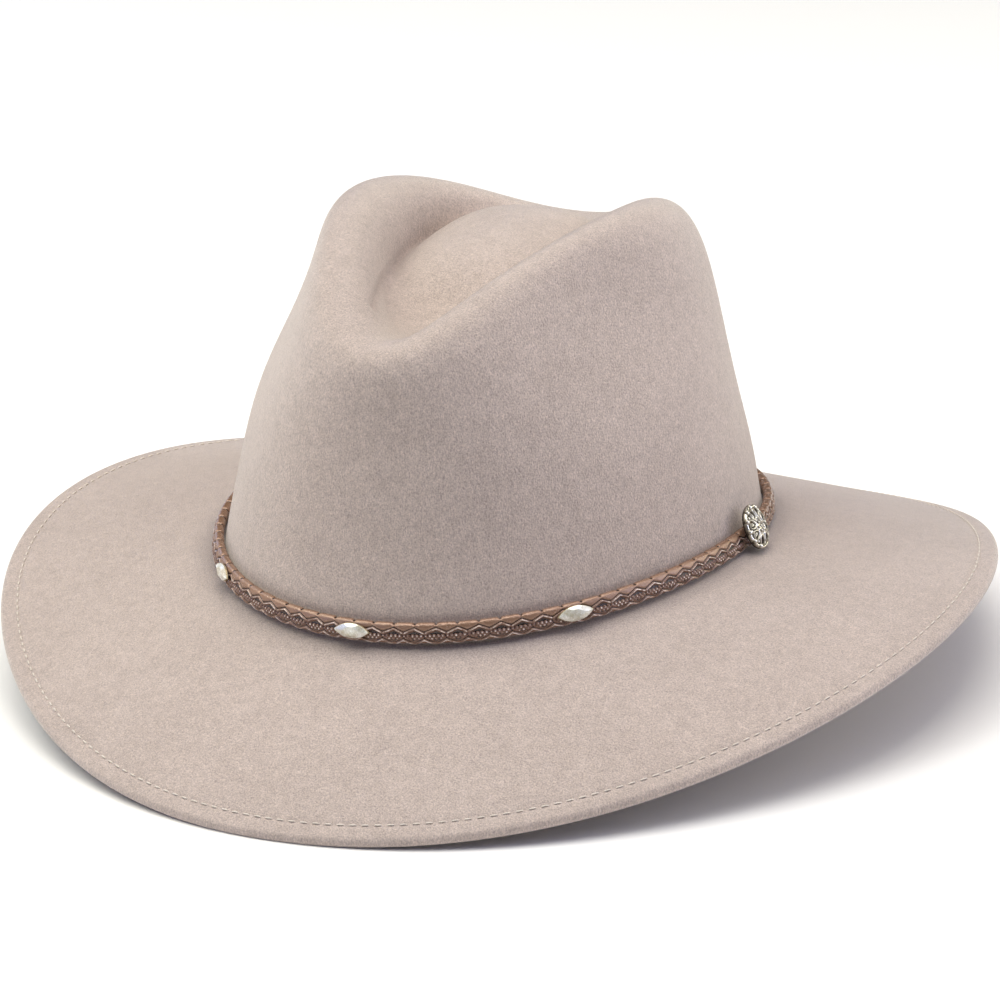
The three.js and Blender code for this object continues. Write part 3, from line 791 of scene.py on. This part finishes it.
def spot_parts():
    """Gem: rings that are a share of the outline, two of them for the flat back and the others at the height
    of the facets. Rim: a round section carried along the outline, and touching it from inside."""
    turn = full_turn(OUTLINE_POINTS)
    outline = np.stack([np.cos(turn), np.sin(turn)], -1) * oval_reach(turn)[:, None]
    shares = np.concatenate([[0, 1], np.linspace(1, 0, GEM_RINGS)])[:, None, None]
    rings = GEM_SHARE * outline * shares
    height = facet_height(rings[..., 0], rings[..., 1])
    height[:2] = GEM_BACK
    gem = np.concatenate([rings, height[..., None]], -1)
    section = full_turn(RIM_SIDES)
    swell = 1 + RIM_RADIUS / (SPOT_HEIGHT / 2) * (np.cos(section) - 1)
    lift = np.tile(RIM_MIDDLE + RIM_STRETCH * RIM_RADIUS * np.sin(section), (OUTLINE_POINTS, 1))
    rim = np.concatenate([outline[:, None] * swell[:, None], lift[..., None]], -1)
    return gem[None], rim[None]


for name, angle in SPOT_ANGLES.items():
    gem, rim = (seat(part, angle, TRIM_GAP, 0.0) for part in spot_parts())
    grids = [closed_grid(gem, poles=True), closed_grid(rim, poles=False)]
    marks = np.concatenate([np.ones(len(grids[0][0])), np.zeros(len(grids[1][0]))])
    spot = make_piece("faceted_" + name, grids, CHAMPAGNE, smooth=False, relief=marks)
    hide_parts(name)

# %% [markdown]
# The concho is a small cast ornament in antique silver: an openwork rosette with knobs along part of its rim,
# eight looped petals and a beaded centre on a post. It leans back a little, clear of the brim. Cast openwork
# is thick where it bends and dark where polish never reaches. Every bar of it is a round section carried
# along a closed path, so one function makes them all, and the masks for wear read how far each point stands
# out.

# %% Antique silver
SILVER_DARK, SILVER_BODY = (0.022, 0.017, 0.011, 1.0), (0.36, 0.33, 0.27, 1.0)
SILVER_WORN = (1.0, 0.97, 0.90, 1.0)


def silver_material():
    """Bare silver where the casting stands out, and black in its recesses."""
    material, tree, shader = new_material("antique_silver", Metallic=1.0)
    grain = place_grain(tree, 0.00035, fibres=0.2)
    relief_masks = place_relief_masks(tree, grain, high=0.66, low=0.58)
    raised_colour = blend_colours(tree, relief_masks["Raised"], SILVER_BODY, SILVER_WORN)
    colour = blend_colours(tree, relief_masks["Sunken"], raised_colour, SILVER_DARK)
    tree.links.new(remap(tree, relief_masks["Raised"], 0.0, 1.0, 0.45, 0.22), shader.inputs["Roughness"])
    dress(tree, shader, colour, grain, strength=0.35, distance=0.0001)
    return material


# %% Concho
CONCHO_SEAT = (92.5, 1.4, 2.4, 12.0)  # angle, gap and rise on the band, and tilt
CONCHO_RADIUS, DOME_FOOT, DOME_RISE = 7.6, 1.0, 1.4
CIRCLE_POINTS, LOOP_POINTS, BAR_SIDES, BALL_RINGS = 192, 48, 10, 7
# Beaded rings: radius, height, half width, half height, number of beads, depth between them
RIM_RING, ROPE_RING = (6.78, 0.95, 0.66, 0.95, 36, 0.05), (2.75, 2.30, 0.36, 0.42, 20, 0.30)
PETALS = 8
# Balls: radius, angle, height, size
KNOBS = (6.75, np.radians(np.arange(60, 241, 30)), 1.5, 1.0)
BALLS = (5.70, full_turn(PETALS), 1.75, 0.62)
SEEDS = (1.6 * (np.arange(7) > 0), np.arange(7) * np.pi / 3, 2.95, 0.58)  # one in the middle, six round it
# Loops: radius of the middle, half length, half width; bars: half width, half height
PETAL_LOOP, PETAL_TAPER, PETAL_LIFT, PETAL_BAR = (4.55, 1.70, 1.42), 0.30, 0.30, (0.36, 0.60)
TONGUE_LOOP, TONGUE_BAR, TONGUES_ABOVE = (4.60, 0.95, 0.36), (0.26, 0.36), -0.9
# Radius and height along the outline of the boss on its post, and the depth of the boss's lobes
BOSS = np.array([(0, -1.3), (1.5, -1.3), (1.5, 0.9), (2.3, 1.2), (2.5, 2.0), (2.3, 2.6), (1.7, 2.8),
                 (0.9, 2.9), (0, 2.95)])
BOSS_LOBES = 0.06


def bar(path, half_width, half_height):
    """Round bars along closed paths: the section's sideways part follows the path's own normal in the plane,
    and its height goes straight out. path has the shape (copies, points, 3)."""
    forward = np.roll(path, -1, 1) - np.roll(path, 1, 1)
    sideways = unit(np.stack([forward[..., 1], -forward[..., 0], np.zeros(path.shape[:2])], -1))
    turn = full_turn(BAR_SIDES)
    points = path[:, :, None] + half_width * np.cos(turn)[:, None] * sideways[:, :, None]
    points[..., 2] += np.broadcast_to(half_height, path.shape[:2])[..., None] * np.sin(turn)
    return points


def on_disc(radius, angle, height):
    """Points at a radius, an angle and a height above the back of the concho."""
    radius, angle, height = np.broadcast_arrays(radius, angle, height)
    return np.stack([radius * np.cos(angle), radius * np.sin(angle), height], -1)


def dome(radius):
    """Height of the rosette: a parabola that falls from the middle to the rim."""
    return DOME_FOOT + DOME_RISE * (1 - (radius / CONCHO_RADIUS) ** 2)


def beads(radius, angle, height, size):
    """Small balls at given places, whose rings are the sines and cosines of two angles."""
    rise = np.linspace(-np.pi / 2, np.pi / 2, BALL_RINGS)[:, None]
    turn = full_turn(BAR_SIDES)
    ball = np.stack([np.cos(rise) * np.cos(turn), np.cos(rise) * np.sin(turn),
                     np.sin(rise) * np.ones_like(turn)], -1)
    return on_disc(radius, angle, height)[:, None, None] + size * ball


def beaded_ring(radius, height, half_width, half_height, count, depth):
    """Bar round the middle of the concho, whose height swells and shrinks a number of times."""
    circle = full_turn(CIRCLE_POINTS)
    swell = 1 + depth * np.cos(count * circle)
    return bar(on_disc(radius, circle, height)[None], half_width, half_height * swell)


def concho_parts():
    """Rim, knobs on its upper and front side, looped petals, tongues in all petals but the lowest two, balls
    between the petals, a rope ring, and a boss on a post with small balls on it. Every part is a set of
    grids, with a mark that is true where the ends are points."""
    loop = full_turn(LOOP_POINTS)
    middle = (full_turn(PETALS) + np.pi / PETALS)[:, None]
    out_along = PETAL_LOOP[0] - PETAL_LOOP[1] * np.cos(loop)
    aside = PETAL_LOOP[2] * np.sin(loop) * (1 - PETAL_TAPER * np.cos(loop))
    radius = np.hypot(out_along, aside)
    turned = middle + np.arctan2(aside, out_along)
    petals = bar(on_disc(radius, turned, dome(radius) + PETAL_LIFT), *PETAL_BAR)
    radius = TONGUE_LOOP[0] - TONGUE_LOOP[1] * np.cos(loop)
    upper = middle[np.sin(middle[:, 0]) > TONGUES_ABOVE]
    tongues = bar(on_disc(radius, upper + TONGUE_LOOP[2] * np.sin(loop) / radius, dome(radius)), *TONGUE_BAR)
    profile_radius, profile_height = BOSS.T[..., None]
    boss = on_disc(profile_radius * (1 + BOSS_LOBES * np.cos(PETALS * loop)), loop, profile_height)[None]
    return [(beaded_ring(*RIM_RING), False), (beads(*KNOBS), True), (petals, False), (tongues, False),
            (beads(*BALLS), True), (beaded_ring(*ROPE_RING), False), (boss, True), (beads(*SEEDS), True)]


concho_grids, concho_relief = [], []
for part, poles in concho_parts():
    grid = closed_grid(part, poles)
    lowest, highest = grid[0][:, 2].min(), grid[0][:, 2].max()
    concho_relief.append((grid[0][:, 2] - lowest) / (highest - lowest))
    concho_grids.append((seat(grid[0], *CONCHO_SEAT), *grid[1:]))
cast_concho = make_piece("cast_concho", concho_grids, silver_material(), relief=np.concatenate(concho_relief))
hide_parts("concho")

# %% [markdown]
# The stage is a plain pale floor under soft light from large lamps, as in a photo studio. The strongest lamp
# hangs above, so the brim and the top of the crown are the brightest. Softer ones stand high at both sides
# and in front, and faint ones stand low all round. The front of the crown is left darker, which shows its
# round shape.

# %% Floor
FLOOR_SIZE, FLOOR_COLOUR = 12.0, (0.94, 0.935, 0.93, 1.0)
floor_material, *_ = new_material(
    "pale_floor", Base_Color=FLOOR_COLOUR, Roughness=0.9, Specular_IOR_Level=0.1)
half = FLOOR_SIZE / 2
floor_mesh = bpy.data.meshes.new("floor")
floor_corners = [(-half, -half, 0), (half, -half, 0), (half, half, 0), (-half, half, 0)]
floor_mesh.from_pydata(floor_corners, [], [(0, 1, 2, 3)])
floor_mesh.materials.append(floor_material)
floor = add_object("floor", floor_mesh)

# %% Lamps and the room's soft light
LAMP_TARGET = (0.0, 0.0, 0.08)
# Each lamp: place, width, power in watts, colour
LAMPS = {
    "overhead": ((0.0, 0.0, 2.0), 1.6, 33.8, (1.0, 0.96, 0.895)),
    "high_left": ((-1.3, 0.0, 1.5), 1.4, 12.9, (1.0, 0.975, 0.84)),
    "high_right": ((1.3, 0.3, 1.5), 1.4, 8.8, (0.89, 0.87, 1.0)),
    "high_front": ((-0.9, -0.9, 1.6), 1.2, 11.3, (0.93, 1.0, 0.94)),
    "low_left": ((-1.7, -0.3, 0.5), 1.0, 2.5, (1.0, 0.75, 0.60)),
    "low_right": ((1.7, 0.4, 0.5), 1.0, 7.0, (0.54, 0.62, 1.0)),
    "back_left": ((-1.5, 1.0, 0.5), 1.0, 4.0, (0.46, 0.62, 1.0)),
    "back_right": ((1.4, 1.2, 0.5), 1.0, 8.7, (1.0, 0.97, 0.71)),
    "front_fill": ((-1.2, -1.5, 0.7), 1.0, 3.0, (0.10, 0.22, 1.0)),
}
ROOM_COLOUR, ROOM_STRENGTH = (0.94, 0.96, 1.0, 1.0), 0.01


def aim(place):
    """Rotation that turns a lamp's -Z axis from its place to the target, with +Y up."""
    return (Vector(LAMP_TARGET) - Vector(place)).to_track_quat("-Z", "Y").to_euler()


for name, (place, width, power, colour) in LAMPS.items():
    lamp = bpy.data.lights.new(name, "AREA")
    lamp.size, lamp.energy, lamp.color = width, power, colour
    lamp_object = add_object(name, lamp)
    lamp_object.location, lamp_object.rotation_euler = place, aim(place)
room = bpy.data.worlds.new("soft_room")
room.use_nodes = True
background = room.node_tree.nodes["Background"].inputs
background["Color"].default_value = ROOM_COLOUR
background["Strength"].default_value = ROOM_STRENGTH
bpy.context.scene.world = room
bpy.context.scene.view_settings.view_transform = "Standard"

# %% [markdown]
# The camera looks at the hat from the front and a little from its left side, from above the brim, through a
# long lens, because the far side of the brim is drawn hardly smaller than the near side. The picture is
# rolled a little.

# %% Camera
CAMERA_AZIMUTH, CAMERA_ELEVATION, CAMERA_ROLL = 25.9, 19.3, -2.4
CAMERA_DISTANCE = 1.6
CAMERA_AIM = np.array([0.0, 0.0, 0.060])
PICTURE_SIZE = 1000
AIM_PIXEL = np.array([497.9, 474.0])  # where that point lies in the picture
PIXELS_PER_METRE = 3006.0  # at the aim point
SENSOR_WIDTH = 36.0


def camera_frame():
    """Right, up and forward directions, and the place: back from the aim along the view, then rolled."""
    azimuth, elevation, roll = np.radians([CAMERA_AZIMUTH, CAMERA_ELEVATION, CAMERA_ROLL])
    level = np.array([np.cos(azimuth), np.sin(azimuth), 0.0])
    forward = np.array([-np.sin(azimuth), np.cos(azimuth), -np.tan(elevation)]) * np.cos(elevation)
    plumb = np.cross(level, forward)
    right = np.cos(roll) * level + np.sin(roll) * plumb
    up = np.cross(right, forward)
    place = CAMERA_AIM - CAMERA_DISTANCE * forward
    x, y = (PICTURE_SIZE / 2 - AIM_PIXEL) / PIXELS_PER_METRE
    forward = unit(CAMERA_AIM + x * right - y * up - place)
    right = unit(np.cross(forward, up))
    return right, np.cross(right, forward), forward, place


right, up, forward, place = camera_frame()
camera_data = bpy.data.cameras.new("camera")
camera_data.sensor_width = SENSOR_WIDTH
camera_data.lens = SENSOR_WIDTH * PIXELS_PER_METRE * CAMERA_DISTANCE / PICTURE_SIZE
camera = add_object("camera", camera_data)
camera.matrix_world = Matrix(np.block([[np.stack([right, up, -forward], 1), place[:, None]],
                                       [np.zeros((1, 3)), np.ones((1, 1))]]).tolist())
bpy.context.scene.camera = camera
print("lens", round(camera_data.lens, 1), "mm")
